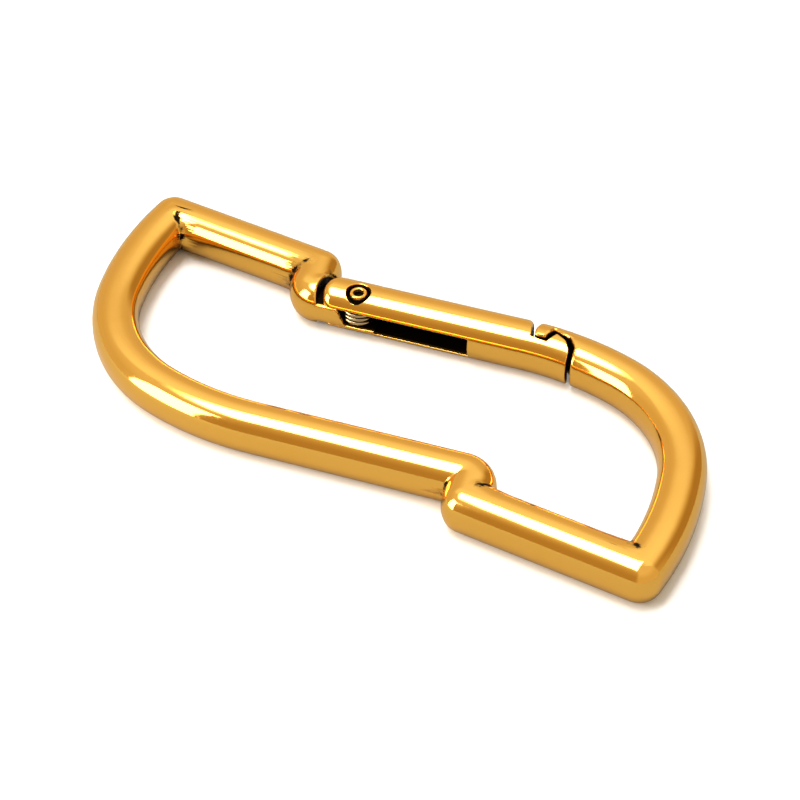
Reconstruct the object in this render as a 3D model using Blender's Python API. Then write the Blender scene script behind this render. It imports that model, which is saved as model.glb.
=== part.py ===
"""Spring-gate snap hook: a cast S-shaped loop, one side of which is a hinged gate.

Four pieces: the cast frame, the forked gate, the rivet that it turns on, and the torsion spring that
closes it. The loop is the same turned half way round about Z, so one half of its centre line is worked
out and the other half is that one turned.

Axes: +X along the two short straight bars, +Z through the loop. The origin is at the centre of the
loop, on the surface that it lies on. Sizes below are in mm and degrees, and meshes are in metres.
"""

import math

import bmesh
import bpy
import numpy as np

MM = 0.001

# The bar that the whole loop is made of, a rounded square section (a superellipse).
BAR_WIDTH = 5.0
BAR_HEIGHT = 5.2
BAR_POWER = 2.36
BAR_SIDES = 24

# The centre line of one half, from its outer corner. The other half is this one turned by 180 degrees,
# but its step was dressed to a slightly different shape.
CORNER_X = -34.29
BAR_Y = 11.795
CORNER_HEADING = -93.29
END_ARCS = ((13.75, 21.95, 7), (16.93, 60.48, 14), (11.27, 20.86, 6))  # length, turn, steps
LEAN = 10.0
HINGE_STEP = (-15.59, -14.51, 1.04)  # x on the short bar, x on the long side, bend radius there
FREE_STEP = (-15.29, -14.40, 1.32)
CORNER_STEPS = 7
CORNER_EASE = 0.35
GATE_CURVE_RINGS = 5

# The hinge. Distances along the gate are from the hinge axis, and distances across it from the
# centre line of the gate, positive outwards.
HINGE_X = -8.824
HINGE_Y = 8.743
HINGE_ACROSS = -0.55
GATE_END_RADIUS = 3.95
GATE_END_FILLET = 0.8
SOCKET_RADIUS = 4.55
SLOT_TOP = 1.00
SLOT_BOTTOM = -1.45
SLOT_END = 12.85
SLOT_FLOOR = 1.60
TONGUE_GAP = 0.04
TONGUE_EDGE = 1.45
EAR_TOP = -1.05
EAR_RADIUS = 1.9
EAR_END = 2.4
EAR_STOP = 0.2
RECESS_RADIUS = 1.95

# The rivet and its bores.
PIN_RADIUS = 1.15
PIN_BORE = 1.20
EAR_BORE = 1.22
COUNTERBORE = 1.35
COUNTERBORE_DEPTH = 1.0
RIVET_RING = 0.925
RIVET_DIMPLE = 0.58
RIVET_HEAD = 1.28
RIVET_TOP = 2.50
RIVET_BASE = 2.05
TURNED_SIDES = 32

# The torsion spring.
WIRE = 0.42
COIL_RADIUS = 1.59
COIL_PITCH = 0.52
COIL_TURNS = 3
COIL_STEPS = 20
BODY_LEG = (15.0, 3.0)  # angle to the gate, length
GATE_LEG = (5.0, 3.7)
SLIT_GAP = 0.08

# The latch seam, from outside to inside the loop: along, across, corner radius.
GATE_SEAM = (
    (18.70, 3.50, 0.0),
    (19.38, -1.02, 0.12),
    (21.15, -1.27, 0.12),
    (21.95, 0.05, 0.18),
    (23.10, -0.65, 1.20),
    (23.80, -1.80, 1.20),
    (23.80, -3.50, 0.0),
)
NOSE_SEAM = (
    (19.55, 3.50, 0.0),
    (19.66, -0.72, 0.40),
    (20.90, -0.68, 0.08),
    (21.48, 0.86, 0.12),
    (23.45, -0.05, 1.20),
    (24.28, -1.30, 1.20),
    (24.33, -3.50, 0.0),
)

MIDDLE_Z = BAR_HEIGHT / 2


def clear_scene():
    for obj in list(bpy.data.objects):
        bpy.data.objects.remove(obj, do_unlink=True)


def metal(name, colour, roughness):
    material = bpy.data.materials.new(name)
    material.use_nodes = True
    shader = material.node_tree.nodes["Principled BSDF"]
    shader.inputs["Base Color"].default_value = (*colour, 1.0)
    shader.inputs["Metallic"].default_value = 1.0
    shader.inputs["Roughness"].default_value = roughness
    material.diffuse_color = (*colour, 1.0)
    return material


# ---------------------------------------------------------------- plan geometry


def direction(heading):
    angle = math.radians(heading)
    return np.array([math.cos(angle), math.sin(angle)])


def left_of(heading):
    return direction(heading + 90.0)


def gate_to_plan(along, across):
    """A place on the gate, as x and y."""
    hinge = np.array([HINGE_X, HINGE_Y])
    return hinge + along * direction(LEAN) + (across - HINGE_ACROSS) * left_of(LEAN)


def bar_section(inset=0.0):
    """The bar's section as (across, up) points. It has real flats on top, below and at both sides."""
    step = 2 * math.pi / BAR_SIDES
    power = 2 / BAR_POWER
    flat = math.cos(step / 2) ** power
    half_width = (BAR_WIDTH / 2 - inset) / flat
    half_height = (BAR_HEIGHT / 2 - inset) / flat
    points = []
    for side in range(BAR_SIDES):
        angle = (side + 0.5) * step
        across = math.copysign(abs(math.cos(angle)) ** power, math.cos(angle))
        up = math.copysign(abs(math.sin(angle)) ** power, math.sin(angle))
        points.append((half_width * across, half_height * up))
        if side == BAR_SIDES // 4 - 1:
            points.append((0.0, BAR_HEIGHT / 2 - inset))
        if side == 3 * BAR_SIDES // 4 - 1:
            points.append((0.0, inset - BAR_HEIGHT / 2))
    return np.array(points)


def ring_at(centre, heading, section=None):
    """The section stood across the path at one place."""
    section = bar_section() if section is None else section
    plan = np.asarray(centre) + np.outer(section[:, 0], left_of(heading))
    return np.column_stack([plan, section[:, 1]])


def corner_rings(vertex, heading_in, heading_out, bend=0.0, inner_place=None):
    """Rings round a corner, whose centre line is sharp or bent round a small radius.

    Outside the corner they roll round it, and inside the bend they are mitred. The crease of the
    mitre is eased, most where it is deepest.
    """
    section = bar_section()
    normal_in = left_of(heading_in)
    normal_out = left_of(heading_out)
    mitre = (normal_in + normal_out) / (1 + normal_in @ normal_out)
    turn = (heading_out - heading_in + 180.0) % 360.0 - 180.0
    inner_side = 1.0 if turn > 0 else -1.0
    hub = vertex + inner_side * bend * mitre
    rings = []
    for step in range(CORNER_STEPS + 1):
        share = step / CORNER_STEPS
        heading = heading_in + turn * share
        ring = ring_at(hub - inner_side * bend * left_of(heading), heading)
        along = share**2 * direction(heading_out) - (1 - share) ** 2 * direction(heading_in)
        for index, (across, _) in enumerate(section):
            if across * inner_side > max(bend, 1e-9):
                place = inner_place(across) if inner_place else vertex + across * mitre
                ease = CORNER_EASE * ((abs(across) - bend) / (BAR_WIDTH / 2 - bend)) ** 4
                ring[index, :2] = place + ease * along
        rings.append(ring)
    return rings


def half_loop(step_shape):
    """Rings from the start of the end's curve, round the corner and the step, to the next long side."""
    corner = np.array([CORNER_X, BAR_Y])
    point = corner
    heading = CORNER_HEADING
    first_radius = END_ARCS[0][0] / math.radians(END_ARCS[0][1])
    first_centre = corner + first_radius * left_of(heading)
    stations = []
    for length, turn, steps in END_ARCS:
        radius = length / math.radians(turn)
        centre = point + radius * left_of(heading)
        for step in range(1, steps + 1):
            there = heading + turn * step / steps
            stations.append((centre - radius * left_of(there), there))
        point, heading = stations[-1]

    def corner_inside(across):
        radius = first_radius - abs(across)
        y = BAR_Y - abs(across)
        x = first_centre[0] - math.sqrt(radius**2 - (y - first_centre[1]) ** 2)
        return np.array([x, y])

    # The curve stations nearest the corner lie inside its mitre, so they are left out.
    kept = [station for station in stations if abs(station[0][1] - BAR_Y) > 0.6 * BAR_WIDTH]
    rings = [ring_at(place, there + 180.0) for place, there in reversed(kept)]
    rings += corner_rings(corner, CORNER_HEADING + 180.0, 0.0, 0.0, corner_inside)

    outer_x, inner_x, bend = step_shape
    outer = np.array([outer_x, BAR_Y])
    middle = gate_to_plan(0.0, 0.0)
    inner = middle + (inner_x - middle[0]) / math.cos(math.radians(LEAN)) * direction(LEAN)
    across_step = inner - outer
    step_heading = math.degrees(math.atan2(across_step[1], across_step[0]))
    rings += corner_rings(outer, 0.0, step_heading)
    rings += corner_rings(inner, step_heading, LEAN, bend)
    return rings


def turned(rings):
    """The rings of the other half: these turned by 180 degrees about Z."""
    return [ring * np.array([-1.0, -1.0, 1.0]) for ring in rings]


def rounded_outline(corners, most_turn=15.0):
    """The points of an open outline whose corners are rounded with arcs."""
    points = [np.array(corners[0][:2])]
    for before, corner, after in zip(corners, corners[1:], corners[2:]):
        here = np.array(corner[:2])
        to_before = np.array(before[:2]) - here
        to_after = np.array(after[:2]) - here
        to_before /= np.linalg.norm(to_before)
        to_after /= np.linalg.norm(to_after)
        half = math.acos(np.clip(to_before @ to_after, -1.0, 1.0)) / 2
        middle = (to_before + to_after) / np.linalg.norm(to_before + to_after)
        centre = here + middle * corner[2] / math.sin(half)
        start = here + to_before * corner[2] / math.tan(half) - centre
        end = here + to_after * corner[2] / math.tan(half) - centre
        first = math.atan2(start[1], start[0])
        sweep = (math.atan2(end[1], end[0]) - first + math.pi) % (2 * math.pi) - math.pi
        count = max(2, math.ceil(abs(math.degrees(sweep)) / most_turn))
        for k in range(count + 1):
            angle = first + sweep * k / count
            points.append(centre + corner[2] * np.array([math.cos(angle), math.sin(angle)]))
    points.append(np.array(corners[-1][:2]))
    return points


# ---------------------------------------------------------------- making meshes


def new_object(name, mesh, material=None):
    obj = bpy.data.objects.new(name, mesh)
    bpy.context.scene.collection.objects.link(obj)
    if material:
        mesh.materials.append(material)
    return obj


def finish_mesh(name, body):
    bmesh.ops.remove_doubles(body, verts=body.verts, dist=1e-7)
    bmesh.ops.dissolve_degenerate(body, edges=body.edges, dist=1e-7)
    bmesh.ops.recalc_face_normals(body, faces=body.faces)
    mesh = bpy.data.meshes.new(name)
    body.to_mesh(mesh)
    body.free()
    return mesh


def swept_mesh(name, rings, origin=(0.0, 0.0, 0.0)):
    """One closed skin through the rings, with a cap at both ends that runs straight up."""
    body = bmesh.new()
    rows = []
    for ring in rings:
        places = (ring + np.array([0.0, 0.0, MIDDLE_Z]) - np.array(origin)) * MM
        rows.append([body.verts.new(place) for place in places])
    count = len(rows[0])
    for row, next_row in zip(rows, rows[1:]):
        for k in range(count):
            corners = (row[k], next_row[k], next_row[(k + 1) % count], row[(k + 1) % count])
            body.faces.new(corners)
    for row in (rows[0], rows[-1]):
        for k in range(count // 2 - 1):
            body.faces.new((row[k], row[k + 1], row[count - 2 - k], row[count - 1 - k]))
    return finish_mesh(name, body)


def prism_mesh(name, outline, low, high):
    """An outline in the local XY plane, made a solid from low to high."""
    body = bmesh.new()
    base = [body.verts.new((x * MM, y * MM, low * MM)) for x, y in outline]
    face = body.faces.new(base)
    lifted = bmesh.ops.extrude_face_region(body, geom=[face])
    for vertex in lifted["geom"]:
        if isinstance(vertex, bmesh.types.BMVert):
            vertex.co.z = high * MM
    return finish_mesh(name, body)


def circle(radius, sides=TURNED_SIDES, centre=(0.0, 0.0)):
    angles = [2 * math.pi * k / sides for k in range(sides)]
    return [(centre[0] + radius * math.cos(a), centre[1] + radius * math.sin(a)) for a in angles]


def arc(radius, first, last, steps):
    angles = [math.radians(first + (last - first) * k / steps) for k in range(steps + 1)]
    return [(radius * math.cos(a), radius * math.sin(a)) for a in angles]


def cutter(name, mesh, parent, turn=(0.0, 0.0, 0.0)):
    obj = new_object(name, mesh)
    obj.parent = parent
    obj.rotation_euler = turn
    obj.hide_render = True
    obj.display_type = "WIRE"
    return obj


def cut(target, tool):
    modifier = target.modifiers.new(tool.name, "BOOLEAN")
    modifier.operation = "DIFFERENCE"
    modifier.solver = "EXACT"
    modifier.object = tool


def shade(obj, angle=40.0):
    obj.data.shade_smooth()
    obj.data.set_sharp_from_angle(angle=math.radians(angle))


# ---------------------------------------------------------------- the pieces


def hinge_axis():
    """An empty on the hinge axis, at the middle of the bar's height, with +X along the gate."""
    empty = bpy.data.objects.new("hinge_axis", None)
    empty.location = (HINGE_X * MM, HINGE_Y * MM, MIDDLE_Z * MM)
    empty.rotation_euler = (0.0, 0.0, math.radians(LEAN))
    bpy.context.scene.collection.objects.link(empty)
    return empty


def seam_cutter(name, seam, side, axis):
    """A block whose edge is the seam, over all that lies before it (side -1) or past it (side 1)."""
    far = seam[0][0] + side * 8.0 if side < 0 else seam[-1][0] + side * 4.0
    outline = [(x, y - HINGE_ACROSS) for x, y in rounded_outline(seam)]
    outline += [(far, outline[-1][1]), (far, outline[0][1])]
    return cutter(name, prism_mesh(name, outline, -BAR_HEIGHT, BAR_HEIGHT), axis)


def make_frame(axis, gold):
    """The casting: hook, far side, both ends, knuckle, and the tongue that fits in the gate's fork."""
    tongue_end = ring_at(gate_to_plan(EAR_END + 0.1, 0.0), LEAN)
    rings = [*turned(half_loop(FREE_STEP)), *half_loop(HINGE_STEP), tongue_end]
    frame = new_object("frame", swept_mesh("frame", rings), gold)

    full = BAR_HEIGHT
    tongue_top = SLOT_TOP - TONGUE_GAP
    tongue_bottom = SLOT_BOTTOM + TONGUE_GAP
    edge = TONGUE_EDGE - HINGE_ACROSS
    socket = circle(SOCKET_RADIUS, 48)
    cut(frame, cutter("socket_above", prism_mesh("socket_above", socket, tongue_top, full), axis))
    cut(frame, cutter("socket_below", prism_mesh("socket_below", socket, -full, tongue_bottom), axis))

    # Beside the tongue, inside the socket: past its straight edge, round the ear and past the stop.
    first = math.degrees(math.asin(edge / SOCKET_RADIUS))
    stop = EAR_STOP - HINGE_ACROSS
    beside = arc(SOCKET_RADIUS, 180.0 - first, 0.0, 14)
    beside += [(SOCKET_RADIUS, -full), (EAR_END, -full), (EAR_END, stop)]
    beside += arc(EAR_RADIUS, 60.0, 90.0, 3)
    beside += [(-EAR_RADIUS, edge)]
    cut(frame, cutter("beside_tongue", prism_mesh("beside_tongue", beside, -full, full), axis))

    # Over the ear, seen along the bar's width: a sloped web end, the ear's top and its sloped tip.
    over = [(-1.90, full), (-1.90, tongue_top), (-1.05, EAR_TOP), (EAR_END, EAR_TOP)]
    over += [(EAR_END - 0.55, tongue_bottom - 0.1), (SOCKET_RADIUS, tongue_bottom - 0.1)]
    over += [(SOCKET_RADIUS, full)]
    over_mesh = prism_mesh("over_ear", over, -full, full)
    cut(frame, cutter("over_ear", over_mesh, axis, (math.pi / 2, 0.0, 0.0)))

    recess = prism_mesh("coil_recess", circle(RECESS_RADIUS), EAR_TOP, full)
    cut(frame, cutter("coil_recess", recess, axis))
    bore = prism_mesh("ear_bore", circle(EAR_BORE), -full, full)
    cut(frame, cutter("ear_bore", bore, axis))

    # The slit that holds the spring's leg, cut into the web along that leg.
    angle, length = BODY_LEG
    wide = WIRE / 2 + SLIT_GAP
    lead = length + 0.2
    slit = [(-lead, COIL_RADIUS - wide), (0.0, COIL_RADIUS - wide)]
    slit += [(0.0, COIL_RADIUS + wide), (-lead, COIL_RADIUS + wide)]
    slit_mesh = prism_mesh("leg_slit", slit, coil_start() - wide, coil_start() + wide)
    cut(frame, cutter("leg_slit", slit_mesh, axis, (0.0, 0.0, math.radians(angle))))

    cut(frame, seam_cutter("nose_seam", NOSE_SEAM, -1, axis))
    shade(frame)
    return frame


def make_gate(axis, gold):
    """The gate: round hinge end with a slot for tongue and spring, straight, then a hooked tip."""
    rings = []
    for angle in (90.0, 67.5, 45.0, 22.5, 0.0):
        inset = GATE_END_FILLET * (1 - math.cos(math.radians(angle)))
        back = GATE_END_FILLET * (1 - math.sin(math.radians(angle)))
        section = bar_section(inset)
        ring = []
        for across, up in section:
            reach = math.sqrt((GATE_END_RADIUS - back) ** 2 - (across - HINGE_ACROSS) ** 2)
            ring.append((*gate_to_plan(-reach, across), up))
        rings.append(np.array(ring))
    rings.append(ring_at(gate_to_plan(2.0, 0.0), LEAN))
    rings += turned(half_loop(FREE_STEP))[:GATE_CURVE_RINGS]

    origin = (HINGE_X, HINGE_Y, 0.0)
    gate = new_object("gate", swept_mesh("gate", rings, origin), gold)
    gate.location = (HINGE_X * MM, HINGE_Y * MM, 0.0)

    floor = SLOT_FLOOR - HINGE_ACROSS
    slot = [(-2 * GATE_END_RADIUS, -8.0), (SLOT_END, -8.0), (SLOT_END, floor)]
    slot += [(-2 * GATE_END_RADIUS, floor)]
    cut(gate, cutter("gate_slot", prism_mesh("gate_slot", slot, SLOT_BOTTOM, SLOT_TOP), axis))
    bore = prism_mesh("gate_bore", circle(PIN_BORE), -BAR_HEIGHT, BAR_HEIGHT)
    cut(gate, cutter("gate_bore", bore, axis))
    depth = BAR_HEIGHT / 2 - COUNTERBORE_DEPTH
    for name, low, high in (("sink_top", depth, BAR_HEIGHT), ("sink_bottom", -BAR_HEIGHT, -depth)):
        cut(gate, cutter(name, prism_mesh(name, circle(COUNTERBORE), low, high), axis))
    cut(gate, seam_cutter("gate_seam", GATE_SEAM, 1, axis))
    shade(gate)
    return gate


def make_pin(gold):
    """The semi-tubular rivet: head below, shank, and a thin ring with a dimple that is set above."""
    seat = BAR_HEIGHT / 2 - COUNTERBORE_DEPTH + 0.03
    soft = 0.15
    profile = [
        (0.0, -RIVET_BASE),
        (RIVET_HEAD - soft, -RIVET_BASE),
        (RIVET_HEAD, -RIVET_BASE + soft),
        (RIVET_HEAD, -seat - 0.02),
        (PIN_RADIUS, -seat - 0.02),
        (PIN_RADIUS, seat),
        (RIVET_RING, seat),
        (RIVET_RING, RIVET_TOP - soft),
        (RIVET_RING - soft / 2, RIVET_TOP),
        (RIVET_DIMPLE + soft / 2, RIVET_TOP),
        (RIVET_DIMPLE, RIVET_TOP - soft),
        (RIVET_DIMPLE - 0.1, RIVET_TOP - 0.6),
        (0.0, RIVET_TOP - 0.75),
    ]
    body = bmesh.new()
    verts = [body.verts.new((r * MM, 0.0, (z + MIDDLE_Z) * MM)) for r, z in profile]
    edges = [body.edges.new(pair) for pair in zip(verts, verts[1:])]
    bmesh.ops.spin(
        body,
        geom=[*verts, *edges],
        cent=(0.0, 0.0, 0.0),
        axis=(0.0, 0.0, 1.0),
        angle=2 * math.pi,
        steps=TURNED_SIDES,
        use_merge=True,
    )
    pin = new_object("hinge_pin", finish_mesh("hinge_pin", body), gold)
    pin.location = (HINGE_X * MM, HINGE_Y * MM, 0.0)
    shade(pin)
    return pin


def coil_start():
    """Height of the first turn's centre over the bar's middle: it rests on the ear."""
    return EAR_TOP + WIRE / 2 + 0.02


def make_spring(axis, steel):
    """The spring: a leg in the tongue's slit, three turns round the rivet, a leg on the slot's floor."""
    body_angle, body_length = BODY_LEG
    gate_angle, gate_length = GATE_LEG
    first = math.radians(90.0 + body_angle)
    total = 2 * math.pi * COIL_TURNS + math.radians(body_angle - gate_angle)
    steps = COIL_TURNS * COIL_STEPS
    points = []
    for step in range(steps + 1):
        turn = total * step / steps
        angle = first - turn
        height = coil_start() + COIL_PITCH * turn / (2 * math.pi)
        points.append((COIL_RADIUS * math.cos(angle), COIL_RADIUS * math.sin(angle), height))
    start = np.array(points[0])
    end = np.array(points[-1])
    back = -np.array([*direction(body_angle), 0.0])
    out = np.array([*direction(gate_angle), 0.0])
    points = [start + back * body_length, *points, end + out * gate_length]

    curve = bpy.data.curves.new("torsion_spring", "CURVE")
    curve.dimensions = "3D"
    curve.bevel_depth = WIRE / 2 * MM
    curve.bevel_resolution = 2
    curve.use_fill_caps = True
    spline = curve.splines.new("POLY")
    spline.points.add(len(points) - 1)
    for spot, place in zip(spline.points, points):
        spot.co = (place[0] * MM, place[1] * MM, place[2] * MM, 1.0)
    spring = bpy.data.objects.new("torsion_spring", curve)
    bpy.context.scene.collection.objects.link(spring)
    curve.materials.append(steel)
    spring.parent = axis
    return spring


def main():
    clear_scene()
    gold = metal("gold_plated_steel", (0.87, 0.50, 0.10), 0.08)
    steel = metal("spring_steel", (0.72, 0.72, 0.74), 0.2)
    axis = hinge_axis()
    make_frame(axis, gold)
    make_gate(axis, gold)
    make_pin(gold)
    make_spring(axis, steel)


main()
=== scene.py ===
# %% [markdown]
# # A snap hook with a spring gate
#
# The hook is an S-shaped loop cast from one rounded square bar. One long side of the loop is a
# gate: a forked lever on a rivet, which a small torsion spring holds shut. The whole hook is
# polished and plated in a warm gold. It has only four pieces, so nearly all that the eye sees is
# how light runs along polished metal. That is why this lesson spends its time on smooth, exact
# surfaces.
#
# The script works in millimetres, measured from the middle of the bar's height, and turns each
# finished mesh into metres at the end.

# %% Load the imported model
import math
from functools import partial

import bmesh
import bpy
import numpy as np
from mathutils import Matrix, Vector


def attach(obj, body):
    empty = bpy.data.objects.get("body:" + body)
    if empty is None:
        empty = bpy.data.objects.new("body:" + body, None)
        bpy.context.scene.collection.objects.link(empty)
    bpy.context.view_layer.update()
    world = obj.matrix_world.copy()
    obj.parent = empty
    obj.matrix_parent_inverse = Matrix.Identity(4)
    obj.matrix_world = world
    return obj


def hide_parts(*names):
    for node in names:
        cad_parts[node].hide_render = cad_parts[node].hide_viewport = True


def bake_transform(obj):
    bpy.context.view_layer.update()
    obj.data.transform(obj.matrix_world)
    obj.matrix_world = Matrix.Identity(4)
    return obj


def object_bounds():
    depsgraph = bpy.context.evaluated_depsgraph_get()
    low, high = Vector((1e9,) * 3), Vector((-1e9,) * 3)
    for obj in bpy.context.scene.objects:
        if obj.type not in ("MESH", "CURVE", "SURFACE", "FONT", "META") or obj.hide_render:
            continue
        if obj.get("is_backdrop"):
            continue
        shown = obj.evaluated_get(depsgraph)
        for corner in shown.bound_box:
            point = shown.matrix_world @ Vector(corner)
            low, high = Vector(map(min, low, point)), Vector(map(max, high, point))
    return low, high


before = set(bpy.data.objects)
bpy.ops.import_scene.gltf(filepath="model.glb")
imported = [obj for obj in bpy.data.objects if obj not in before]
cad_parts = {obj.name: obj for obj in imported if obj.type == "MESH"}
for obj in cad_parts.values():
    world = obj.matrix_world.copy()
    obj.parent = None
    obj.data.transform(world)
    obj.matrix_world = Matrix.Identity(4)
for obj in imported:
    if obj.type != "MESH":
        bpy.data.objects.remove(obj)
cad_box = [list(corner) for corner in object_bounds()]

# %% Units
MM = 0.001
BAR_HEIGHT = 5.2
MIDDLE = np.array([0.0, 0.0, BAR_HEIGHT / 2])

# %% [markdown]
# ## The centre line
#
# The bar follows a line that is the same turned half way round. One half goes from a sharp corner
# through three arcs, which make the curved end, then along a straight side to a slanted step, and
# along a short straight bar to the opposite corner. Only the two steps differ a little, because
# each was dressed by hand. A maker would bend the bar from arcs and straights, so that is how it
# is written here: each stretch is a small function that gives the distance from any point in the
# plan to that stretch. Stretches that flow into each other form a run, and a crease is where two
# runs meet.

# %% Driving sizes of the centre line
CORNER = np.array([-34.29, 11.795])
CORNER_HEADING = -93.29
END_ARCS = ((13.75, 21.95), (16.93, 60.48), (11.27, 20.86))  # length, turn
ARC_DOTS = 40
LEAN = 10.0

# A step: x on the short bar, x on the long side, and the bend radius there.
HINGE_STEP = (-15.59, -14.51, 1.04)
FREE_STEP = (-15.29, -14.40, 1.32)
HINGE = np.array([-8.824, 8.743])
HINGE_ACROSS = -0.55


def direction(heading):
    angle = math.radians(heading)
    return np.array([math.cos(angle), math.sin(angle)])


GATE_WAY = direction(LEAN)
GATE_SIDE = direction(LEAN + 90.0)
GATE_MIDDLE = HINGE - HINGE_ACROSS * GATE_SIDE


def step_corners(step):
    """The corners of a step, on the short bar and on the long side."""
    inner = GATE_MIDDLE + (step[1] - GATE_MIDDLE[0]) / GATE_WAY[0] * GATE_WAY
    return np.array([step[0], CORNER[1]]), inner


print("the hinge's step runs from", *(corner.round(2) for corner in step_corners(HINGE_STEP)))

# %% Rounding a corner
def fillet(before, corner, after, radius):
    """Where the arc in a corner starts, its centre, where it ends, and which way is inwards."""
    to_before = (before - corner) / np.linalg.norm(before - corner)
    to_after = (after - corner) / np.linalg.norm(after - corner)
    half = math.acos(np.clip(to_before @ to_after, -1.0, 1.0)) / 2
    inward = (to_before + to_after) / np.linalg.norm(to_before + to_after)
    reach = radius / math.tan(half)
    centre = corner + inward * radius / math.sin(half)
    return corner + to_before * reach, centre, corner + to_after * reach, inward


def arc_dots(start, centre, end, most_turn=12.0):
    """Points round the shorter arc from start to end."""
    first = math.atan2(*(start - centre)[::-1])
    sweep = (math.atan2(*(end - centre)[::-1]) - first + math.pi) % (2 * math.pi) - math.pi
    count = max(2, math.ceil(abs(math.degrees(sweep)) / most_turn))
    radius = np.linalg.norm(start - centre)
    turns = [math.degrees(first + sweep * k / count) for k in range(count + 1)]
    return [centre + radius * direction(turn) for turn in turns]


# %% Distances to one stretch
def line_distance(plan, start, end):
    along = end - start
    share = np.clip((plan - start) @ along / (along @ along), 0.0, 1.0)
    return np.linalg.norm(plan - start - share[:, None] * along, axis=1)


def arc_distance(plan, centre, radius, middle, half_sweep):
    offset = plan - centre
    angle = np.arctan2(offset[:, 1], offset[:, 0]) - middle
    angle = (angle + math.pi) % (2 * math.pi) - math.pi
    angle = middle + np.clip(angle, -half_sweep, half_sweep)
    nearest = radius * np.column_stack([np.cos(angle), np.sin(angle)])
    return np.linalg.norm(offset - nearest, axis=1)


# %% One half of the line, as stretches and as points
def half_line(sign, step):
    """The half that starts at the corner, or its twin when sign is -1: runs, dots and creases."""
    point = CORNER
    heading = CORNER_HEADING
    turned = 0.0 if sign > 0 else math.pi
    side = []
    dots = [point]
    for length, turn in END_ARCS:
        radius = length / math.radians(turn)
        centre = point + radius * direction(heading + 90.0)
        middle = math.radians(heading - 90.0 + turn / 2) + turned
        half_sweep = math.radians(turn) / 2
        side.append(
            partial(
                arc_distance,
                centre=sign * centre,
                radius=radius,
                middle=middle,
                half_sweep=half_sweep,
            )
        )
        for number in range(1, ARC_DOTS + 1):
            there = heading + turn * number / ARC_DOTS
            dots.append(centre - radius * direction(there + 90.0))
        point = dots[-1]
        heading += turn

    outer, inner = (-corner for corner in step_corners(step))
    start, hub, end, inward = fillet(point, inner, outer, step[2])
    side.append(partial(line_distance, start=sign * point, end=sign * start))
    side.append(
        partial(
            arc_distance,
            centre=sign * hub,
            radius=step[2],
            middle=math.atan2(*(inner - hub)[::-1]) + turned,
            half_sweep=math.acos(step[2] / np.linalg.norm(inner - hub)),
        )
    )
    slant = [partial(line_distance, start=sign * end, end=sign * outer)]
    short_bar = [partial(line_distance, start=sign * outer, end=-sign * CORNER)]
    dots += [*arc_dots(start, hub, end), outer]

    creases = [(hub, inward)]
    next_end = -CORNER - direction(CORNER_HEADING)
    for before, corner, after in ((inner, outer, -CORNER), (outer, -CORNER, next_end)):
        creases.append((corner, fillet(before, corner, after, 0.0)[3]))
    signed = [(sign * corner, sign * way) for corner, way in creases]
    return [side, slant, short_bar], [sign * dot for dot in dots], signed


first_runs, first_dots, first_creases = half_line(1, FREE_STEP)
second_runs, second_dots, second_creases = half_line(-1, HINGE_STEP)
RUNS = first_runs + second_runs
LINE_DOTS = np.array(first_dots + second_dots)
line_length = np.linalg.norm(LINE_DOTS - np.roll(LINE_DOTS, 1, axis=0), axis=1).sum()
print(f"the centre line is {line_length:.1f} mm long, in {len(RUNS)} runs")

# Where each crease starts, which way it goes, and the two runs that meet in it.
CREASES = [
    (corner, inward, run, (run + 1) % len(RUNS))
    for run, (corner, inward) in enumerate(first_creases + second_creases)
]
print(f"{len(CREASES)} creases")

# %% [markdown]
# ## The bar as a field
#
# A field is a function that is below zero inside a solid and above zero outside it. The bar's
# section is a superellipse, between an ellipse and a rectangle, so its field needs only the
# distance to the centre line and the height. Two solids join by taking the smaller field, and one
# is cut from the other by taking the larger of one and minus the other. Where the two are nearly
# equal they are mixed, which rounds the edge or fills the crease, as tumbling and polishing do to
# a casting.

# %% Mixing fields
BAR_WIDTH = 5.0
BAR_POWER = 2.36
CREASE_FILL = 0.40
CREASE_REACH = 1.6
# How far from a crease its painted shade and residue reach, in field units.
SHADE_AND_RESIDUE_WIDTH = 0.7


def smooth_step(value):
    value = np.clip(value, 0.0, 1.0)
    return value * value * (3 - 2 * value)


def soft_min(first, second, width):
    """The smaller of two fields, with the crease between them filled over this width."""
    nearness = np.clip(1 - np.abs(first - second) / np.maximum(width, 1e-6), 0.0, 1.0)
    return np.minimum(first, second) - nearness**2 * width / 4


def soft_cut(solid, tool, width):
    """The solid less the tool, with the new edge rounded over this width."""
    return -soft_min(-solid, tool, width)


# %% The bar's field
def section_field(distance, height):
    across = distance / (BAR_WIDTH / 2)
    up = np.abs(height) / (BAR_HEIGHT / 2)
    return ((across**BAR_POWER + up**BAR_POWER) ** (1 / BAR_POWER) - 1) * BAR_WIDTH / 2


def run_fields(points):
    """The field of each run by itself."""
    plan = points[:, :2]
    fields = []
    for run in RUNS:
        distance = np.min([stretch(plan) for stretch in run], axis=0)
        fields.append(section_field(distance, points[:, 2]))
    return fields


def bar_field(points):
    fields = run_fields(points)
    solid = np.min(fields, axis=0)
    for corner, inward, before, after in CREASES:
        width = CREASE_FILL * smooth_step((points[:, :2] - corner) @ inward / CREASE_REACH)
        solid = np.minimum(solid, soft_min(fields[before], fields[after], width))
    return solid


def crease_nearness(points):
    """1 down in a crease of the bar and 0 away from it."""
    fields = run_fields(points)
    nearness = np.zeros(len(points))
    for corner, inward, before, after in CREASES:
        deep = smooth_step((points[:, :2] - corner) @ inward / CREASE_REACH)
        farther = np.maximum(np.abs(fields[before]), np.abs(fields[after]))
        close = smooth_step(1 - farther / SHADE_AND_RESIDUE_WIDTH)
        nearness = np.maximum(nearness, deep * close)
    return nearness


top_of_bar = np.array([[0.0, 0.0, 0.0]]) + [*(-HINGE), BAR_HEIGHT / 2]
print("field on top of the spine:", bar_field(top_of_bar).round(3))

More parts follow.
